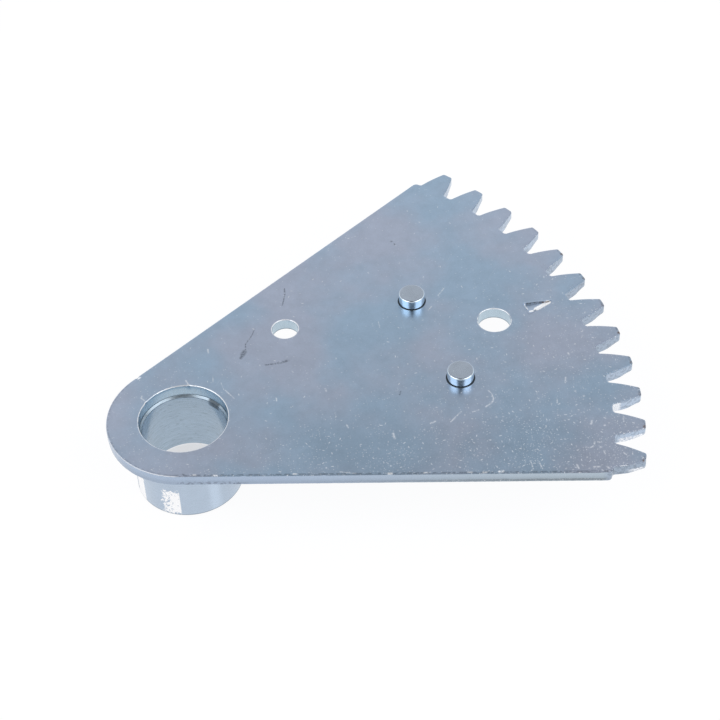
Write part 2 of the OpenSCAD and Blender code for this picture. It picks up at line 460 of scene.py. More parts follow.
# In the stamped mark: the painted highlight on the near brink, the painted shade under the far brink, and
# brown spots
MARK_HIGHLIGHTS = [((114.3, -0.75), (118.5, 0.2), 1.25), ((111.9, -0.9), (112.6, -1.2), 0.5),
             ((113.3, -0.9), (113.4, -0.9), 0.4), ((111.7, 2.6), (111.7, 0.4), 0.18)]
MARK_SHADE = [((112.3, 2.5), (115.6, 1.65), 0.42), ((116.1, 1.5), (117.4, 1.15), 0.3),
              ((113.3, -1.2), (113.5, -1.2), 0.4)]
MARK_RUST = [((118.3, 0.95), (119.0, 0.75), 0.8), ((117.2, 1.2), (117.5, 1.1), 0.4)]
# Brown chips on the nearest tooth, in the same way
RUST_CHIPS = [((114.3, -68.7), (115.2, -68.5), 0.8)]
# Single strokes: the bluest part of the face, the spatter on the wall by the pivot, the stain in the bore
BLUEST = ((32.0, -26.0), (52.0, -36.0), 22.0)
SPATTERED = ((-7.0, -21.5), (7.0, -27.5), 3.0)
STAINED = ((12.0, 4.6), (10.8, 7.2), 1.1)
# Brown spots on the tooth tips: half width in millimetres, and distances from the tooth's middle and tip
TIP_SPOT = 0.75
TIP_SPOT_ASIDE, TIP_SPOT_INSIDE = 1.1 * MM, 0.35 * MM
# The farthest teeth have no such spots
UNSPOTTED_TEETH = 4

# Sizes of the lumps in the zinc's noise, from broad clouds to grain
BROAD, CLOUD, MOTTLE, GRAIN = 30 * MM, 7 * MM, 2.2 * MM, 0.55 * MM
# Distance from the pivot's axis at which the teeth start
TEETH_START = 122 * MM
# Distances from its axis between which the pivot's surroundings end
PIVOT_NEAR, PIVOT_FAR = 16 * MM, 30 * MM
# Parts of the bush's outer wall with painted highlights, and a strip with painted light, in degrees from its
# front
HIGHLIGHT_PATCH, HIGHLIGHT_STRIP, PAINTED_LIGHT_STRIP = (-27.5, -8.3), (-70.0, -54.0), (24.0, 36.0)
# Between these directions the painted highlight patch turns from whole to broken
PATCH_BREAKS = (-12.0, -24.0)


def break_line(settings):
    """Height of the line between the burnished and the torn band of the plate's wall."""
    return PLATE_LOW + settings.break_share * (PLATE_TOP - PLATE_LOW)


def near_pivot(nodes, place):
    """1 round the pivot hole and 0 at the other holes."""
    return nodes.ease(nodes.length(nodes.flat(place)), PIVOT_FAR, PIVOT_NEAR)


def sector(nodes, turn, limits, soft):
    """1 between two directions in degrees, fading out over a soft margin in radians."""
    return nodes.between(turn, *map(math.radians, limits), soft)


def tip_spots():
    """Brown spots at the lower corners of the tooth tips, in the way of the scratches."""
    corner = TIP_SPOT_ASIDE / TIP_RADIUS
    reach = (TIP_RADIUS - TIP_SPOT_INSIDE) / MM
    spots = []
    for tooth in range(SECTOR_TEETH - UNSPOTTED_TEETH):
        turn = (tooth - (SECTOR_TEETH - 1) / 2) * 2 * math.pi / CIRCLE_TEETH - corner
        place = (reach * math.cos(turn), reach * math.sin(turn))
        spots.append((place, place, TIP_SPOT))
    return spots + RUST_CHIPS


def zinc_tint(nodes, place, first, second):
    """Two zinc tints in broad clouds, lightened and darkened by finer clouds, mottling and grain, with
    painted light that makes the far side and the rounded end lighter.
    """
    x, y, _ = nodes.parts(place)
    bluest = stroke(nodes, nodes.flat(place), *BLUEST)
    broad = nodes.ease(nodes.noise(place, BROAD, 3.0), 0.35, 0.65) | bluest
    cloud = nodes.noise(place, CLOUD, 3.0)
    mottle = nodes.noise(place, MOTTLE, 2.0)
    grain = nodes.noise(place, GRAIN, 1.0)
    shade = 0.74 + 0.18 * cloud + 0.15 * mottle + 0.1 * grain
    # Painted light: lighter towards the far side and towards the rounded end
    painted_lean = 0.08 * nodes.ease(y, -45 * MM, 45 * MM) + 0.07 * nodes.ease(x, 4 * MM, -18 * MM)
    return nodes.scaled(nodes.mix(broad, first, second), shade + painted_lean), cloud, grain


def face_finish(settings):
    """Satin blue zinc with scratches, nicks and scuffs, for the plate's flat faces and rolled edges, with
    painted shade along the near edge and on the rolled edge, and a painted highlight on the rolled edge
    round the rounded end.
    """
    material, nodes = new_finish("zinc_face")
    place = nodes.place()
    flat = nodes.flat(place)
    x, y, z = nodes.parts(place)
    upper = z > (PLATE_LOW + PLATE_TOP) / 2
    tint, cloud, grain = zinc_tint(nodes, place, settings.lilac, settings.teal)
    rolled = nodes.ease(z, PLATE_TOP - 0.01 * MM, PLATE_TOP - 0.05 * MM) * upper
    chips = nodes.ease(nodes.noise(place, 0.9 * MM, 2.0), 0.56, 0.64)
    handled = nodes.ease(0.35 * x - y, 5 * MM, 95 * MM)
    nicks = flecks(nodes, flat, cell=2.2 * MM, long=0.55 * MM, wide=0.18 * MM,
                   amount=0.05 + 0.5 * handled)
    radius = nodes.length(flat)
    facing = nodes.dot(flat, (math.cos(SIDE_TURN), math.sin(SIDE_TURN), 0.0))
    behind = nodes.ease(x, -8 * MM, -10 * MM)
    inside = APEX_RADIUS - behind * radius - (1.0 - behind) * facing
    beside = nodes.ease(inside, 18 * MM, 6 * MM) | nodes.ease(x, 16 * MM, 4 * MM)
    crowd = 0.25 + 0.9 * nodes.ease(nodes.noise(place, 9 * MM, 2.0), 0.38, 0.62)
    specks = flecks(nodes, flat, cell=0.85 * MM, long=0.24 * MM, wide=0.17 * MM,
                    amount=0.08 + (0.55 * handled + 0.3 * beside) * crowd)
    hairs = flecks(nodes, flat, cell=9 * MM, long=3.2 * MM, wide=0.1 * MM, amount=0.3)
    scratched = strokes(nodes, place, flat, SCRATCHES) * upper
    knocked = strokes(nodes, place, flat, EDGE_RUBS) * upper
    blots = nodes.ease(nodes.noise(place, 1.2 * MM, 3.0), 0.4, 0.55)
    # Painted shade: a broken dark line just inside the near top edge, fainter round the rounded end; a dark
    # line also runs just inside the tooth tips
    edge_line = nodes.between(inside, 0.2 * MM, 0.65 * MM, 0.2 * MM)
    tip_line = (nodes.ease(radius, TIP_RADIUS - 1.0 * MM, TIP_RADIUS - 0.5 * MM)
                * nodes.ease(y, 45 * MM, 20 * MM))
    dark_edge_lines = ((0.75 - 0.4 * behind) * edge_line | 0.5 * tip_line) * blots
    scuffs = strokes(nodes, place, flat, SCUFFS) * (0.3 + 0.7 * blots)
    smudges = strokes(nodes, place, flat, SMUDGES, 0.5)
    scuffs_and_edge_shade = (0.8 * scuffs | dark_edge_lines | 0.9 * smudges) * upper
    rusty = strokes(nodes, place, flat, tip_spots()) * upper
    near = nodes.ease(inside, 6 * MM, 4 * MM) * nodes.ease(radius, TEETH_START + 2 * MM, TEETH_START)
    # Bright chips on the rolled edge, and a painted highlight all along the rolled edge round the rounded
    # end
    chips_and_highlight = rolled * (chips * (0.5 - 0.3 * near) | 0.55 * behind)
    bright = 0.5 * scratched | 0.85 * knocked | 0.65 * nicks | 0.48 * specks | 0.12 * hairs | chips_and_highlight
    shaded = 0.08 * nodes.ease(inside, 28 * MM, 12 * MM) * nodes.between(x, 29 * MM, 105 * MM, 7 * MM)
    # Painted shade: the rolled edge is darkened, most along the near straight side, and the face is darkened
    # in a band beside the near straight side
    base = nodes.scaled(tint, (1.0 - rolled * (0.3 + 0.1 * near)) * (1.0 - shaded))
    base = nodes.mix(bright, base, settings.wear_and_highlight)
    base = nodes.mix(0.7 * scuffs_and_edge_shade, base, settings.grime_and_shade)
    base = nodes.mix(0.9 * rusty, base, settings.rust)
    rough = settings.gloss + 0.05 * cloud + 0.04 * grain + 0.25 * bright + 0.2 * (rolled | scuffs_and_edge_shade | rusty)
    height = 0.12 * grain - bright - 0.4 * scuffs_and_edge_shade
    coat(nodes, {"Base Color": base, "Metallic": 1.0 - 0.5 * bright - 0.4 * knocked - 0.6 * rusty,
                 "Roughness": rough, "Normal": bump(nodes, height, 0.008 * MM)})
    return material


def rim_finish(settings):
    """Rim of a punched hole, bright in places: partly wear, partly painted highlight, most on the pivot
    hole's right half.
    """
    material, nodes = new_finish("zinc_rim")
    place = nodes.place()
    tint, cloud, grain = zinc_tint(nodes, place, settings.lilac, settings.teal)
    wear_and_highlight = nodes.ease(nodes.noise(place, 2.2 * MM, 3.0), 0.38, 0.5)
    # Painted highlight: the pivot hole's rim is brightest on its right half and is lighter than the other
    # rims
    right = nodes.ease(nodes.parts(place)[0], -4 * MM, 4 * MM)
    pivot = near_pivot(nodes, place)
    rim_wear_and_highlight = 0.7 * (1.0 - pivot) * (0.35 + 0.65 * wear_and_highlight) | 0.75 * pivot * (0.45 + 0.55 * (right | wear_and_highlight))
    base = nodes.mix(rim_wear_and_highlight, nodes.scaled(tint, 0.85 + 0.15 * pivot), settings.wear_and_highlight)
    coat(nodes, {"Base Color": base, "Metallic": 1.0 - 0.5 * rim_wear_and_highlight * (1.0 - pivot),
                 "Roughness": 0.28 + 0.08 * cloud + 0.06 * grain})
    return material


def cut_finish(settings):
    """Sheared edge: burnished above, torn and darker below, most where the straight sides end."""
    material, nodes = new_finish("zinc_cut_edge")
    place = nodes.place()
    flat = nodes.flat(place)
    x, y, z = nodes.parts(place)
    toothed = nodes.ease(nodes.length(flat), TEETH_START, TEETH_START + 2.5 * MM)
    cloud, grain = nodes.noise(place, 5 * MM, 3.0), nodes.noise(place, 0.5 * MM, 1.0)
    waver = 0.6 * MM * (nodes.noise(place, 2.5 * MM, 3.0) - 0.5)
    line = break_line(settings)
    along = nodes.ease(x, 10 * MM, 95 * MM)
    torn = (nodes.between(z + waver, PLATE_LOW + 0.4 * MM, line, 0.2 * MM)
            * (0.1 + 0.9 * along) * (1.0 - 0.75 * toothed))
    low = nodes.ease(z + 2.0 * waver, PLATE_LOW + 2.1 * MM, PLATE_LOW + 1.6 * MM)
    nearest = nodes.ease(y, -62 * MM, -64 * MM) * toothed
    lower = nodes.ease(z, PLATE_TOP - 0.8 * MM, PLATE_LOW + 0.8 * MM) * (1.0 - toothed)
    lumps = nodes.noise(place, 0.35 * MM, 3.0)
    glints = nodes.ease(lumps, 0.58, 0.66) * torn
    ripped = strokes(nodes, place, flat, TORN_FLANKS) * low * nodes.ease(lumps, 0.38, 0.46)
    bright = ripped | strokes(nodes, place, flat, BARE_ROOT, 0.1) | 0.5 * glints
    tint = nodes.mix(toothed, nodes.mix(along, settings.sheared, settings.sheared_end), settings.flank)
    duller = nodes.between(y, -30 * MM, 20 * MM, 15 * MM) * toothed
    spatter = (stroke(nodes, flat, *SPATTERED)
               * nodes.ease(z, PLATE_LOW + 2.2 * MM, PLATE_LOW + 0.6 * MM)
               * nodes.ease(nodes.noise(place, 1.1 * MM, 3.0), 0.45, 0.6))
    pitted = nodes.ease(nodes.noise(place, 0.9 * MM, 3.0), 0.48, 0.6) * toothed
    faded = ((1.0 - 0.32 * torn) * (1.0 - 0.25 * nearest) * (1.0 - (0.12 + 0.1 * along) * lower)
             * (1.0 - 0.2 * duller) * (1.0 - 0.35 * spatter) * (1.0 - 0.22 * pitted))
    tint = nodes.scaled(tint, (0.92 + 0.12 * cloud + 0.12 * grain) * faded)
    base = nodes.mix(bright, tint, settings.wear_and_highlight)
    streaks = nodes.noise(nodes.vector("MULTIPLY", place, (1.0, 1.0, 0.12)), 0.3 * MM, 2.0)
    coat(nodes, {"Base Color": base, "Metallic": 1.0 - 0.5 * bright,
                 "Roughness": 0.17 + 0.22 * torn + 0.08 * grain,
                 "Normal": bump(nodes, 3.0 * torn * lumps + 0.4 * streaks, 0.025 * MM)})
    return material


def hole_finish(settings):
    """Wall of a punched hole: light, with upright streaks and a dark line at its foot."""
    material, nodes = new_finish("zinc_punched")
    place = nodes.place()
    z = nodes.parts(place)[2]
    streaks = nodes.noise(nodes.vector("MULTIPLY", place, (1.0, 1.0, 0.1)), 0.45 * MM, 3.0)
    cloud = nodes.noise(place, 3 * MM, 2.0)
    foot = nodes.ease(z, PLATE_LOW + 0.45 * MM, PLATE_LOW + 0.2 * MM)
    pivot = near_pivot(nodes, place)
    # Painted light: the pivot hole's wall is made lighter than the other holes' walls
    tint = nodes.scaled(settings.punched, 0.76 + 0.2 * streaks + 0.16 * cloud + 0.27 * pivot)
    base = nodes.mix(0.45 * foot, tint, settings.grime_and_shade)
    coat(nodes, {"Base Color": base, "Metallic": 1.0, "Roughness": 0.22 + 0.1 * cloud,
                 "Normal": bump(nodes, streaks, 0.006 * MM)})
    return material


def stamp_finish(settings):
    """Stamped mark: zinc with a painted highlight on the near brink, and painted shade and brown spots under
    the far brink.
    """
    material, nodes = new_finish("zinc_stamped")
    place = nodes.place()
    flat = nodes.flat(place)
    tint, cloud, grain = zinc_tint(nodes, place, settings.lilac, settings.teal)
    sunk = nodes.ease(nodes.parts(place)[2], PLATE_TOP - 0.02 * MM, PLATE_TOP - 0.12 * MM)
    painted_highlight = nodes.ease(strokes(nodes, place, flat, MARK_HIGHLIGHTS, 0.15), 0.2, 0.5)
    far_brink_shade = strokes(nodes, place, flat, MARK_SHADE, 0.4)
    rusty = strokes(nodes, place, flat, MARK_RUST, 0.3) * sunk
    base = nodes.mix(painted_highlight, tint, settings.wear_and_highlight)
    base = nodes.mix(0.8 * far_brink_shade, base, settings.grime_and_shade)
    base = nodes.mix(0.85 * rusty, base, settings.rust)
    rough = 0.25 + 0.1 * cloud - 0.1 * painted_highlight + 0.4 * (far_brink_shade | rusty)
    coat(nodes, {"Base Color": base, "Metallic": 1.0 - 0.5 * (painted_highlight | rusty | far_brink_shade), "Roughness": rough,
                 "Normal": bump(nodes, grain, 0.006 * MM)})
    return material


def bush_finish(settings):
    """Turned zinc: rings round the axis, painted highlights and a painted lighter strip outside, painted
    shade at the outer foot and in the bore's top chamfer, and a stained spot at the bore's mouth.
    """
    material, nodes = new_finish("zinc_turned")
    place = nodes.place()
    flat = nodes.flat(place)
    z = nodes.parts(place)[2]
    bore, mouth_z = mount_radius("pivot_bore"), PLATE_LOW
    ahead = Vector((math.cos(settings.front), math.sin(settings.front), 0.0))
    aside = Vector((-ahead.y, ahead.x, 0.0))
    forward = nodes.dot(flat, ahead)
    sideways = nodes.dot(flat, aside)
    round_angle = sideways.math("ARCTAN2", sideways, forward)
    radius = nodes.length(flat)
    inner = nodes.ease(radius, bore + 1.0 * MM, bore + 0.7 * MM)

    jag = nodes.noise(place, 0.9 * MM, 3.0) - 0.5
    holes = nodes.ease(round_angle, *map(math.radians, PATCH_BREAKS))
    specks = nodes.ease(nodes.noise(place, 0.6 * MM, 2.0) - 0.14 * holes, 0.28, 0.36)
    # Painted highlights: a jagged patch and a strip on the outer wall, in the bright colour
    patch = (sector(nodes, round_angle + 0.3 * jag * holes, HIGHLIGHT_PATCH, 0.012)
             * nodes.between(z + 7 * MM * jag, 0.9 * MM, 10.5 * MM, 0.3 * MM) * specks)
    strip = (sector(nodes, round_angle + 0.06 * jag, HIGHLIGHT_STRIP, 0.012)
             * nodes.between(z, 0.4 * MM, 20 * MM, 0.3 * MM))
    # Painted light: a lighter strip down the outer wall
    painted_light_strip = sector(nodes, round_angle, PAINTED_LIGHT_STRIP, 0.08)
    painted_highlight = (patch | strip) * (1.0 - inner)
    foot = nodes.ease(z, 1.0 * MM, 0.6 * MM) * (1.0 - inner)

    rings = nodes.noise(nodes.vector("MULTIPLY", place, (0.08, 0.08, 1.0)), 0.4 * MM, 2.0)
    dashes = nodes.noise(nodes.vector("MULTIPLY", place, (0.25, 0.25, 1.0)), 0.4 * MM, 2.0)
    dashes = nodes.ease(dashes, 0.42, 0.3) * inner
    cloud = nodes.noise(place, 5 * MM, 3.0)
    grain = nodes.noise(place, 0.6 * MM, 2.0)
    mouth = nodes.between(z, mouth_z - 0.7 * MM, mouth_z + 0.1 * MM, 0.05 * MM) * inner
    stained = (stroke(nodes, flat, *STAINED)
               * nodes.between(z, mouth_z - 2.2 * MM, mouth_z + 0.1 * MM, 0.2 * MM))
    tint = nodes.mix(inner, settings.outside, settings.inside)
    shade = 0.8 + 0.12 * cloud + 0.1 * grain + 0.15 * painted_light_strip
    # Painted shade: the bore's top chamfer (mouth) darkens the tint
    tint = nodes.scaled(tint, shade + 0.22 * rings * (0.4 + inner) - 0.16 * dashes - 0.35 * mouth)
    base = nodes.mix(painted_highlight, tint, settings.bright)
    # Painted shade: the outer wall's foot is darkened with the same dark colour as the dirt at the bore's
    # mouth
    base = nodes.mix(0.75 * (stained | 0.6 * foot), base, settings.stain_and_foot_shade)
    rough = 0.15 + 0.1 * cloud + 0.05 * grain + 0.25 * stained + 0.1 * painted_highlight + 0.1 * mouth
    coat(nodes, {"Base Color": base, "Metallic": 1.0, "Roughness": rough,
                 "Normal": bump(nodes, rings * (0.3 + inner), 0.01 * MM)})
    return material


def weld_finish(settings):
    """Plated weld bead, a little dull and uneven."""
    material, nodes = new_finish("zinc_weld_bead")
    place = nodes.place()
    cloud = nodes.noise(place, 3 * MM, 3.0)
    grain = nodes.noise(place, 0.4 * MM, 2.0)
    tint = nodes.scaled(settings.zinc, 0.75 + 0.2 * cloud + 0.25 * grain)
    coat(nodes, {"Base Color": tint, "Metallic": 1.0, "Roughness": 0.3 + 0.2 * cloud,
                 "Normal": bump(nodes, grain, 0.03 * MM)})
    return material


def pin_finish(settings):
    """Ground wall of a pin, bright, with fine rings."""
    material, nodes = new_finish("zinc_pin_wall")
    place = nodes.place()
    rings = nodes.noise(nodes.vector("MULTIPLY", place, (0.1, 0.1, 1.0)), 0.3 * MM, 2.0)
    cloud = nodes.noise(place, 2.5 * MM, 2.0)
    tint = nodes.scaled(settings.wall, 0.88 + 0.12 * rings + 0.1 * cloud)
    coat(nodes, {"Base Color": tint, "Metallic": 1.0, "Roughness": 0.05 + 0.04 * cloud,
                 "Normal": bump(nodes, rings, 0.003 * MM)})
    return material


def pin_top_finish(settings):
    """Flat top of a pin, satin like the plate, with a few small rubs."""
    material, nodes = new_finish("zinc_pin_top")
    place = nodes.place()
    cloud = nodes.noise(place, 2.5 * MM, 3.0)
    grain = nodes.noise(place, 0.5 * MM, 2.0)
    rubs = flecks(nodes, nodes.flat(place), cell=1.8 * MM, long=0.5 * MM, wide=0.2 * MM, amount=0.3)
    tint = nodes.scaled(settings.top, 0.88 + 0.2 * cloud + 0.03 * grain)
    coat(nodes, {"Base Color": nodes.mix(0.5 * rubs, tint, settings.wall), "Metallic": 1.0,
                 "Roughness": 0.17 + 0.08 * cloud, "Normal": bump(nodes, 0.1 * grain - rubs, 0.004 * MM)})
    return material


def seam_finish(settings):
    """Dirt in the seam round a pin's foot."""
    material, nodes = new_finish("seam_dirt")
    place = nodes.place()
    grain = nodes.noise(place, 0.3 * MM, 2.0)
    tint = nodes.scaled(settings.dirt, 1.0 + grain)
    coat(nodes, {"Base Color": tint, "Metallic": 0.0, "Roughness": 0.6 + 0.3 * grain})
    return material


def merged_copy(node):
    """A CAD node's mesh as a bmesh of its own, with its loose triangles joined."""
    bm = bmesh.new()
    bm.from_mesh(frame["nodes"][node].data)
    bmesh.ops.remove_doubles(bm, verts=bm.verts[:], dist=MERGE_DISTANCE)
    return bm


def add_piece(bm, name, node, materials):
    """Makes an object of a finished bmesh, in the place of a CAD node."""
    for edge in bm.edges:
        edge.smooth = edge.calc_face_angle(0.0) < SHARP_ANGLE
    mesh = bpy.data.meshes.new(name)
    bm.to_mesh(mesh)
    bm.free()
    for material in materials:
        mesh.materials.append(material)
    piece = bpy.data.objects.new(name, mesh)
    bpy.context.scene.collection.objects.link(piece)
    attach(piece, "root")
    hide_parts(node)
    return piece


def keep_top_edges(bm):
    """Deletes all but the edges round the plate's flat top face."""
    face = {f for f in bm.faces if all(abs(v.co.z - PLATE_TOP) < MERGE_DISTANCE for v in f.verts)}
    rim = {e for e in bm.edges if sum(f in face for f in e.link_faces) == 1}
    bmesh.ops.delete(bm, geom=bm.faces[:], context="FACES_ONLY")
    bmesh.ops.delete(bm, geom=[e for e in bm.edges if e not in rim], context="EDGES")
    bmesh.ops.delete(bm, geom=[v for v in bm.verts if not v.link_edges], context="VERTS")


def find_rings(bm):
    """The closed rings of a bmesh of bare edges, each as its vertices, counter-clockwise from above."""
    rings, left = [], set(bm.verts)
    while left:
        ring = [left.pop()]
        while True:
            onward = [e.other_vert(ring[-1]) for e in ring[-1].link_edges]
            fresh = [v for v in onward if v in left]
            if not fresh:
                break
            ring.append(fresh[0])
            left.discard(fresh[0])
        pairs = zip(ring, ring[1:] + ring[:1])
        area = sum(a.co.x * b.co.y - b.co.x * a.co.y for a, b in pairs)
        rings.append(ring if area > 0 else ring[::-1])
    return rings


def split_long_edges(bm, step):
    """Cuts every edge into equal parts of about a step or less."""
    by_cuts = {}
    for edge in bm.edges:
        by_cuts.setdefault(int(edge.calc_length() / step), []).append(edge)
    for cuts, edges in by_cuts.items():
        if cuts:
            bmesh.ops.subdivide_edges(bm, edges=edges, cuts=cuts)


def ring_edges(bm, ring):
    return [bm.edges.get(pair) for pair in zip(ring, ring[1:] + ring[:1])]


def ring_normals(ring, side):
    """Level normals of a ring's vertices, pointing out of it for side 1 and into it for side -1."""
    normals = []
    for before, after in zip(ring[-1:] + ring[:-1], ring[1:] + ring[:1]):
        run = after.co - before.co
        normals.append(side * Vector((run.y, -run.x, 0.0)).normalized())
    return normals


def smooth_step(value):
    """Smooth rise from 0 to 1 while the value does the same."""
    held = min(1.0, max(0.0, value))
    return held * held * (3.0 - 2.0 * held)


def nick_depth(spot, fall):
    """How far the nicks in the top edge push a point of the wall in."""
    upper = 1.0 - (PLATE_TOP - spot.z) / fall
    if upper <= 0.0:
        return 0.0
    pushed = 0.0
    for x, y, reach, depth in NICKS:
        gap = math.hypot(spot.x - x * MM, spot.y - y * MM)
        pushed += depth * MM * upper * smooth_step(1.0 - gap / (reach * MM))
    return pushed


# Coarse and fine lumps of the torn band: their sizes, and the strength of the fine ones
COARSE_LUMP, FINE_LUMP, FINE_SHARE = 0.9 * MM, 0.35 * MM, 0.6
# How far behind the tooth tips the lower edge begins to fall back
TIP_ZONE = 5 * MM


def wall_rows(settings, ring, side, profile):
    """Places of a ring's vertices in each row of a wall; a profile's row is inset, height and lumps."""
    normals = ring_normals(ring, side)
    line = break_line(settings)
    rows = []
    for inset, height, lumps in profile:
        row = []
        for vertex, normal in zip(ring, normals):
            spot = Vector((vertex.co.x, vertex.co.y, height))
            lump = lumps * (noise.noise(spot / COARSE_LUMP) + FINE_SHARE * noise.noise(spot / FINE_LUMP))
            rolled = max(0.0, (line - height) / (line - PLATE_LOW)) ** 2
            tip = settings.tip_roll * rolled * smooth_step((spot.xy.length - TIP_RADIUS) / TIP_ZONE + 1.0)
            row.append(spot - normal * (inset + lump + tip + nick_depth(spot, settings.nick_fall)))
        rows.append(row)
    return rows


def sweep(bm, ring, rows, finishes):
    """Moves a ring to the first row and extrudes it through the others, each band in its own finish."""
    for index, row in enumerate(rows):
        if index:
            made = bmesh.ops.extrude_edge_only(bm, edges=ring_edges(bm, ring))["geom"]
            fresh = {item for item in made if isinstance(item, bmesh.types.BMVert)}
            for item in made:
                if isinstance(item, bmesh.types.BMFace):
                    item.material_index = finishes[index - 1]
                    item.smooth = True
            ring = [next(o for o in (e.other_vert(v) for e in v.link_edges) if o in fresh) for v in ring]
        for vertex, spot in zip(ring, row):
            vertex.co = spot
    return ring


def fill(bm, rings, finish):
    """Closes the space between rings with flat faces."""
    edges = [edge for ring in rings for edge in ring_edges(bm, ring)]
    made = bmesh.ops.triangle_fill(bm, use_beauty=True, edges=edges)["geom"]
    for item in made:
        if isinstance(item, bmesh.types.BMFace):
            item.material_index = finish
            item.smooth = False


def quarter_round(width, depth, steps):
    """Rows of a rounded top edge, from the face to the wall."""
    rows = []
    for index in range(steps + 1):
        turn = 0.5 * math.pi * index / steps
        rows.append((width * (1.0 - math.sin(turn)), PLATE_TOP - depth * (1.0 - math.cos(turn)), 0.0))
    return rows


# Steps of the rolled top edge, of a hole's rim and of the torn band
ROLL_STEPS, RIM_STEPS, TORN_STEPS = 5, 4, 6
# Rows of the burnished band, as shares of the nicks' reach, and of a hole's wall, as shares of its height
NICK_ROWS = (0.35, 0.6, 1.0)
HOLE_ROWS = (0.75, 0.5, 0.25, 0.0)
# Share of the lumps that reaches the top line of the torn band
LINE_LUMPS = 0.15


def outer_profile(settings):
    """Rows of the sheared wall and their finishes: rolled edge, burnished band, torn band, lower edge."""
    line = break_line(settings)
    rows = quarter_round(settings.roll_width, settings.roll_depth, ROLL_STEPS)
    rolled = len(rows) - 1
    rows += [(0.0, PLATE_TOP - part * settings.nick_fall, 0.0) for part in NICK_ROWS]
    rows.append((0.0, line, LINE_LUMPS * settings.break_rough))
    for index in range(1, TORN_STEPS + 1):
        part = index / TORN_STEPS
        height = line + (PLATE_LOW + settings.break_depth - line) * part
        rows.append((settings.break_depth * part, height, settings.break_rough))
    rows.append((2.0 * settings.break_depth, PLATE_LOW, settings.break_rough))
    return rows, [FACE] * rolled + [CUT] * (len(rows) - 1 - rolled)


def hole_profile(settings, pin_hole):
    """Rows of a hole's wall and their finishes: a rounded rim, which a pin's hole lacks, and the wall."""
    if pin_hole:
        return [(0.0, PLATE_TOP, 0.0), (0.0, PLATE_LOW, 0.0)], [HOLE]
    rim = settings.rim_width
    rows = [(inset - rim, height, lumps) for inset, height, lumps in quarter_round(rim, rim, RIM_STEPS)]
    rolled = len(rows) - 1
    tall = PLATE_TOP - rim - PLATE_LOW
    rows += [(-rim, PLATE_LOW + part * tall, 0.0) for part in HOLE_ROWS]
    return rows, [RIM] * rolled + [HOLE] * (len(rows) - 1 - rolled)


# Shape of the stamped mark: share of the way to its deep line, and share of the full depth
MARK_STEPS = [(0.03, 0.04), (0.15, 0.19), (0.3, 0.38), (0.45, 0.56), (0.6, 0.72), (0.75, 0.76), (0.93, 0.8)]
# Shape of the lip round it: shares of the lip's width and height
LIP_STEPS = [(1.0, 0.0), (0.5, 0.7), (0.2, 1.0), (0.0, 0.6)]
# Ends of the deep line: shares of the way from the far corner to the tip, and from there to the near corner
DEEP_START, DEEP_END = (0.04, 0.08), (0.8, 0.03)
# Share of the depth that is gone at the deep line's end
DEEP_RISE = 0.55


def mark_rows(settings, ring, corners):
    """Places of the stamped mark's rows: a raised lip, then a slope to a deep line along the far side."""
    tip = max(corners, key=lambda corner: corner.x)
    far, near = sorted((c for c in corners if c is not tip), key=lambda corner: corner.y, reverse=True)
    deep_start, deep_end = (far.lerp(tip, onward).lerp(near, across)
                            for onward, across in (DEEP_START, DEEP_END))
    deep_run = deep_end - deep_start
    lip_profile = [(out * settings.lip_width, rise * settings.lip_height) for out, rise in LIP_STEPS]
    places = [vertex.co.copy() for vertex in ring]
    normals = ring_normals(ring, 1)
    rows = [[place + normal * out + Vector((0.0, 0.0, rise)) for place, normal in zip(places, normals)]
            for out, rise in lip_profile]
    for way, drop in MARK_STEPS:
        row = []
        for place in places:
            along = (place - deep_start).dot(deep_run) / deep_run.length_squared
            along = min(1.0, max(0.0, along))
            spot = place.lerp(deep_start + deep_run * along, way)
            spot.z = PLATE_TOP - drop * settings.mark_depth * (1.0 - DEEP_RISE * along)
            row.append(spot)
        rows.append(row)
    return rows


# Fewest steps round a hole of the plate
MIN_HOLE_STEPS = 72


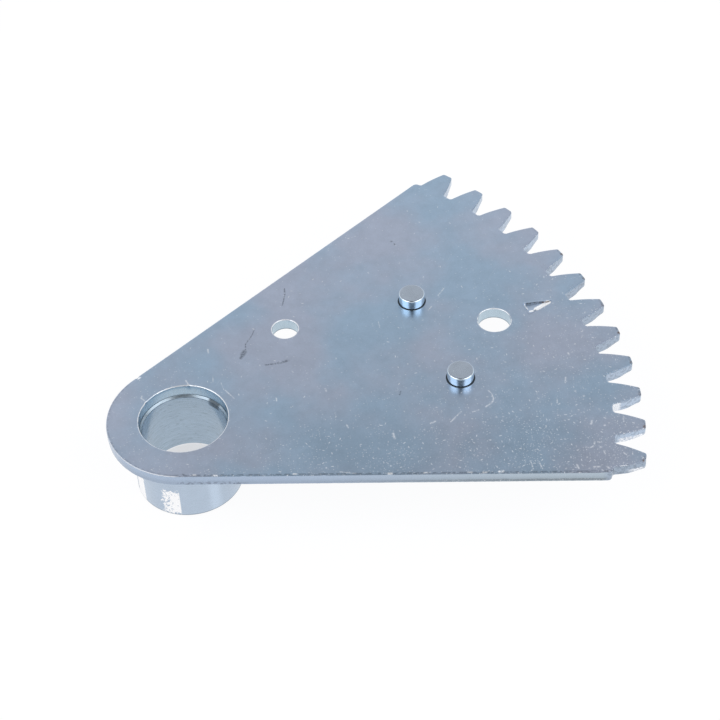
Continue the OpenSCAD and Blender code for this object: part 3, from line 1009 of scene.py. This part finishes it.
class SECTOR_GEAR_OT_plate(bpy.types.Operator):
    """Add the blanked plate with its teeth, holes and stamped mark"""

    bl_idname = "sector_gear.plate"
    bl_label = "Plate"

    def execute(self, context):
        settings = context.scene.sector_gear.plate
        pressed = mount_radius("pin_left") + context.scene.sector_gear.pins.seam
        bm = merged_copy("sector_plate")
        keep_top_edges(bm)
        rings = find_rings(bm)
        outline, mark = max(rings, key=len), min(rings, key=len)
        corners = [vertex.co.copy() for vertex in mark]
        holes = []
        for ring in rings:
            if ring is outline or ring is mark:
                continue
            centre = sum((v.co for v in ring), Vector()) / len(ring)
            holes.append((centre, max((v.co - centre).length for v in ring)))
            bmesh.ops.delete(bm, geom=ring, context="VERTS")
        apex = max(v.co.xy.length for v in outline if v.co.x < 0.0)
        split_long_edges(bm, settings.step)
        for vertex in bm.verts:
            if vertex.co.xy.length < apex:
                vertex.co.xy = vertex.co.xy.normalized() * apex
        outline, mark = sorted(find_rings(bm), key=len, reverse=True)

        profile, finishes = outer_profile(settings)
        rows = wall_rows(settings, outline, 1, profile)
        tops, bottoms = [outline], [sweep(bm, outline, rows, finishes)]
        for centre, radius in holes:
            count = round(2 * math.pi * radius / settings.step)
            ring = bmesh.ops.create_circle(bm, radius=radius, segments=max(MIN_HOLE_STEPS, count),
                                           matrix=Matrix.Translation(centre))["verts"]
            profile, finishes = hole_profile(settings, abs(radius - pressed) < 0.1 * settings.rim_width)
            rows = wall_rows(settings, ring, -1, profile)
            tops.append(ring)
            bottoms.append(sweep(bm, ring, rows, finishes))
        tops.append(mark)
        rows = mark_rows(settings, mark, corners)
        pit = sweep(bm, mark, rows, [STAMP] * len(rows))
        fill(bm, tops, FACE)
        fill(bm, bottoms, FACE)
        fill(bm, [pit], STAMP)
        bmesh.ops.remove_doubles(bm, verts=bm.verts[:], dist=MERGE_DISTANCE)
        bmesh.ops.recalc_face_normals(bm, faces=bm.faces[:])
        finishes = (face_finish, rim_finish, cut_finish, hole_finish, stamp_finish)
        add_piece(bm, "blanked_plate", "sector_plate", [make(settings) for make in finishes])
        return {"FINISHED"}


# Steps of a rounded corner of a turned piece
CORNER_STEPS = 5
# Length of the unevenness in the tool's marks
GROOVE_NOISE = 0.5 * MM
# Cuts across the weld bead
BEAD_CUTS = 12
# Lean and unevenness of its ripples, in ripples, and the size of the unevenness
RIPPLE_LEAN, RIPPLE_NOISE, RIPPLE_NOISE_SIZE = 0.7, 0.25, 6 * MM


def closed_profile(points, rounds):
    """A closed profile of (radius, height) points in the XZ plane, some of its corners rounded."""
    bm = bmesh.new()
    verts = [bm.verts.new((radius, 0.0, height)) for radius, height in points]
    for pair in zip(verts, verts[1:] + verts[:1]):
        bm.edges.new(pair)
    for index, size in rounds.items():
        bmesh.ops.bevel(bm, geom=[verts[index]], offset=size, segments=CORNER_STEPS, profile=0.5,
                        affect="VERTICES", material=-1)
    return bm


def spin_round(bm, steps):
    """Spins a profile in the XZ plane into a closed solid about the Z axis."""
    bmesh.ops.spin(bm, geom=bm.verts[:] + bm.edges[:], cent=(0, 0, 0), axis=(0, 0, 1),
                   angle=2 * math.pi, steps=steps, use_merge=True)
    bmesh.ops.remove_doubles(bm, verts=bm.verts[:], dist=MERGE_DISTANCE)
    bmesh.ops.recalc_face_normals(bm, faces=bm.faces[:])
    for face in bm.faces:
        face.smooth = abs(face.normal.z) < LEVEL


class SECTOR_GEAR_OT_bush(bpy.types.Operator):
    """Add the turned pivot bush"""

    bl_idname = "sector_gear.bush"
    bl_label = "Pivot Bush"

    def execute(self, context):
        settings = context.scene.sector_gear.bush
        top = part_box("pivot_bush")[1]
        outer, bore = top.x, mount_radius("pivot_bore")
        mouth, end = settings.mouth, settings.end
        points = [(bore + mouth, 0.0), (outer - end, 0.0), (outer, end), (outer, top.z),
                  (bore + mouth, top.z), (bore, top.z - mouth), (bore, mouth)]
        bm = closed_profile(points, {index: settings.edge_round for index in (0, 1, 2, 5, 6)})
        wall = [e for e in bm.edges if all(abs(v.co.x - bore) < MERGE_DISTANCE for v in e.verts)]
        cuts = int(max(e.calc_length() for e in wall) / settings.groove_step)
        bmesh.ops.subdivide_edges(bm, edges=wall, cuts=cuts)
        for vertex in bm.verts:
            if abs(vertex.co.x - bore) < MERGE_DISTANCE and mouth < vertex.co.z < top.z - mouth:
                vertex.co.x += settings.groove_depth * noise.noise((0.0, 0.0, vertex.co.z / GROOVE_NOISE))
        spin_round(bm, settings.steps)
        add_piece(bm, "turned_bush", "pivot_bush", [bush_finish(settings)])
        return {"FINISHED"}


class SECTOR_GEAR_OT_weld(bpy.types.Operator):
    """Add the weld bead between the bush and the plate"""

    bl_idname = "sector_gear.weld"
    bl_label = "Weld Bead"

    def execute(self, context):
        settings = context.scene.sector_gear.weld
        low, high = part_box("hub_weld")
        inner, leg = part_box("pivot_bush")[1].x, high.z - low.z
        bm = closed_profile([(inner, high.z), (inner, low.z), (inner + leg, high.z)], {})
        slope = max(bm.edges, key=lambda e: e.calc_length())
        bmesh.ops.subdivide_edges(bm, edges=[slope], cuts=BEAD_CUTS)
        corner = Vector((inner, 0.0, high.z))
        for vertex in bm.verts:
            away = vertex.co - corner
            if away.x > MERGE_DISTANCE and away.z < -MERGE_DISTANCE:
                vertex.co = corner + away.normalized() * leg
        spin_round(bm, settings.steps)
        for vertex in bm.verts:
            level = vertex.co.xy.length - inner
            drop = high.z - vertex.co.z
            if level < MERGE_DISTANCE or drop < MERGE_DISTANCE:
                continue
            middle = 2.0 * min(level, drop) / leg
            turn = math.atan2(vertex.co.y, vertex.co.x) / (2 * math.pi) * settings.ripples
            uneven = RIPPLE_NOISE * noise.noise(vertex.co / RIPPLE_NOISE_SIZE)
            wave = (turn + RIPPLE_LEAN * middle + uneven) % 1.0
            out = Vector((vertex.co.x, vertex.co.y, 0.0)).normalized() * level - Vector((0.0, 0.0, drop))
            vertex.co -= out.normalized() * settings.ripple_height * (1.0 - wave) ** 2 * min(1.0, 2 * middle)
        add_piece(bm, "weld_bead", "hub_weld", [weld_finish(settings)])
        return {"FINISHED"}


class SECTOR_GEAR_OT_pins(bpy.types.Operator):
    """Add the two pressed pins"""

    bl_idname = "sector_gear.pins"
    bl_label = "Pins"

    def execute(self, context):
        settings = context.scene.sector_gear.pins
        materials = [make(settings) for make in (pin_finish, pin_top_finish, seam_finish)]
        for node in ("pin_left", "pin_right"):
            low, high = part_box(node)
            free = mount_radius(node)
            pressed = free + settings.seam
            points = [(0.0, low.z), (pressed - settings.lead, low.z), (pressed, low.z + settings.lead),
                      (pressed, PLATE_TOP - settings.seam), (free, PLATE_TOP), (free, high.z), (0.0, high.z)]
            bm = closed_profile(points, {5: settings.edge_round})
            axis_edge = bm.edges.get([v for v in bm.verts if v.co.x < MERGE_DISTANCE])
            bmesh.ops.delete(bm, geom=[axis_edge], context="EDGES_FACES")
            spin_round(bm, settings.steps)
            for face in bm.faces:
                height = face.calc_center_median().z
                if face.normal.z > PIN_TOP_SLOPE and height > PLATE_TOP:
                    face.material_index = PIN_TOP
                elif PLATE_TOP - settings.seam < height < PLATE_TOP:
                    face.material_index = PIN_SEAM
                else:
                    face.material_index = PIN_WALL
            middle = (low + high) / 2
            bmesh.ops.translate(bm, verts=bm.verts[:], vec=(middle.x, middle.y, 0.0))
            add_piece(bm, "pressed_" + node, node, materials)
        return {"FINISHED"}


# Nearest distance that the camera shows
NEAR_CLIP = 10 * MM
# Half the side of the floor
FLOOR_REACH = 4.0
# Heights in the sky, from 0 at the horizon to 1 overhead: where it begins to dim, and the dark band's ends
DIM_START = 0.35
BAND_LOW, BAND_HIGH, BAND_SOFT = 0.53, 0.97, 0.04


def add_camera(settings):
    camera = bpy.data.objects.new("camera", bpy.data.cameras.new("camera"))
    bpy.context.scene.collection.objects.link(camera)
    camera.data.lens = settings.lens
    camera.data.clip_start = NEAR_CLIP
    eye, target = Vector(settings.eye), Vector(settings.target)
    aim = (target - eye).to_track_quat("-Z", "Y").to_matrix() @ Matrix.Rotation(settings.roll, 3, "Z")
    camera.matrix_world = Matrix.Translation(eye) @ aim.to_4x4()
    bpy.context.scene.camera = camera


def seen(nodes):
    """1 on rays that show a surface in the picture or in a reflection."""
    path = nodes.node("ShaderNodeLightPath", output="Is Camera Ray")
    outputs = path.socket.node.outputs
    return path | Wire(nodes, outputs["Is Glossy Ray"]) | Wire(nodes, outputs["Is Transmission Ray"])


def add_floor(settings):
    """A white floor that keeps part of the shadow, and is clear from below."""
    material, nodes = new_finish("studio_floor")
    radius = nodes.length(nodes.flat(nodes.place()))
    bore = nodes.ease(radius, mount_radius("pivot_bore") + MM, mount_radius("pivot_bore"))
    shadow = settings.shadow + (settings.bore_shadow - settings.shadow) * bore
    matte = nodes.node("ShaderNodeBsdfDiffuse", None, {"Color": (*settings.floor, 1.0)})
    glow = nodes.node("ShaderNodeEmission", None,
                      {"Color": (1.0, 1.0, 1.0, 1.0), "Strength": settings.floor_glow})
    pale = nodes.node("ShaderNodeMixShader", None,
                      {0: seen(nodes) * (1.0 - shadow), 1: matte, 2: glow})
    under = nodes.node("ShaderNodeNewGeometry", output="Backfacing")
    clear = nodes.node("ShaderNodeBsdfTransparent")
    shown = nodes.node("ShaderNodeMixShader", None, {0: under, 1: pale, 2: clear})
    nodes.node("ShaderNodeOutputMaterial", None, {"Surface": shown})
    bm = bmesh.new()
    bmesh.ops.create_grid(bm, x_segments=1, y_segments=1, size=FLOOR_REACH)
    mesh = bpy.data.meshes.new("studio_floor")
    bm.to_mesh(mesh)
    bm.free()
    mesh.materials.append(material)
    floor = bpy.data.objects.new("studio_floor", mesh)
    bpy.context.scene.collection.objects.link(floor)


def add_lamp(settings, name, turn):
    """A square soft lamp in a direction from the target, facing it."""
    lamp = bpy.data.lights.new(name, "AREA")
    lamp.size = settings.lamp_size
    lamp.energy = settings.lamp_glow * math.pi * settings.lamp_size ** 2
    holder = bpy.data.objects.new(name, lamp)
    bpy.context.scene.collection.objects.link(holder)
    lift = settings.lamp_height
    back = Vector((math.sin(turn) * math.cos(lift), -math.cos(turn) * math.cos(lift), math.sin(lift)))
    holder.location = Vector(settings.target) + back * settings.lamp_distance
    holder.rotation_euler = back.to_track_quat("Z", "Y").to_euler()


def add_sky(settings):
    """White backdrop that dims towards the ceiling, with a dark band where the camera stands."""
    world = bpy.data.worlds.new("studio")
    bpy.context.scene.world = world
    world.use_nodes = True
    nodes = Nodes(world.node_tree)
    direction = nodes.node("ShaderNodeTexCoord", output="Generated")
    height = nodes.parts(direction)[2]
    towards = (Vector(settings.eye) - Vector(settings.target)) * Vector((1.0, 1.0, 0.0))
    level_way = nodes.vector("NORMALIZE", nodes.flat(direction))
    facing = nodes.dot(level_way, towards.normalized())
    inner, outer = (math.cos(settings.band + side * settings.band_edge / 2) for side in (-1, 1))
    band = nodes.ease(facing, outer, inner) * nodes.between(height, BAND_LOW, BAND_HIGH, BAND_SOFT)
    dimmed = settings.dimming * nodes.ease(height, DIM_START, 1.0)
    level = (1.0 - dimmed) * (1.0 - settings.band_darkness * band)
    camera_ray = nodes.node("ShaderNodeLightPath", output="Is Camera Ray")
    sky = nodes.node("ShaderNodeBackground", None,
                     {"Color": (1.0, 1.0, 1.0, 1.0), "Strength": camera_ray | level})
    nodes.node("ShaderNodeOutputWorld", None, {"Surface": sky})


class SECTOR_GEAR_OT_studio(bpy.types.Operator):
    """Add the camera, the floor and the light"""

    bl_idname = "sector_gear.studio"
    bl_label = "Studio"

    def execute(self, context):
        settings = context.scene.sector_gear.studio
        add_camera(settings)
        add_floor(settings)
        add_sky(settings)
        add_lamp(settings, "left_lamp", settings.left_lamp)
        add_lamp(settings, "right_lamp", settings.right_lamp)
        context.scene.view_settings.view_transform = "Standard"
        return {"FINISHED"}


class SECTOR_GEAR_PT_panel(bpy.types.Panel):
    """Buttons that add the pieces and the studio"""

    bl_idname = "SECTOR_GEAR_PT_panel"
    bl_label = "Sector Gear"
    bl_space_type = "VIEW_3D"
    bl_region_type = "UI"
    bl_category = "Sector Gear"

    def draw(self, context):
        for operator in OPERATORS:
            self.layout.operator(operator.bl_idname)


OPERATORS = (SECTOR_GEAR_OT_plate, SECTOR_GEAR_OT_bush, SECTOR_GEAR_OT_weld,
             SECTOR_GEAR_OT_pins, SECTOR_GEAR_OT_studio)
CLASSES = (PlateSettings, BushSettings, WeldSettings, PinSettings, StudioSettings, SectorGearSettings,
           *OPERATORS, SECTOR_GEAR_PT_panel)


def register():
    for item in CLASSES:
        bpy.utils.register_class(item)
    bpy.types.Scene.sector_gear = PointerProperty(type=SectorGearSettings)


def unregister():
    del bpy.types.Scene.sector_gear
    for item in reversed(CLASSES):
        bpy.utils.unregister_class(item)


def main():
    register()
    bpy.ops.sector_gear.plate()
    bpy.ops.sector_gear.bush()
    bpy.ops.sector_gear.weld()
    bpy.ops.sector_gear.pins()
    bpy.ops.sector_gear.studio()


if __name__ == "__main__":
    main()
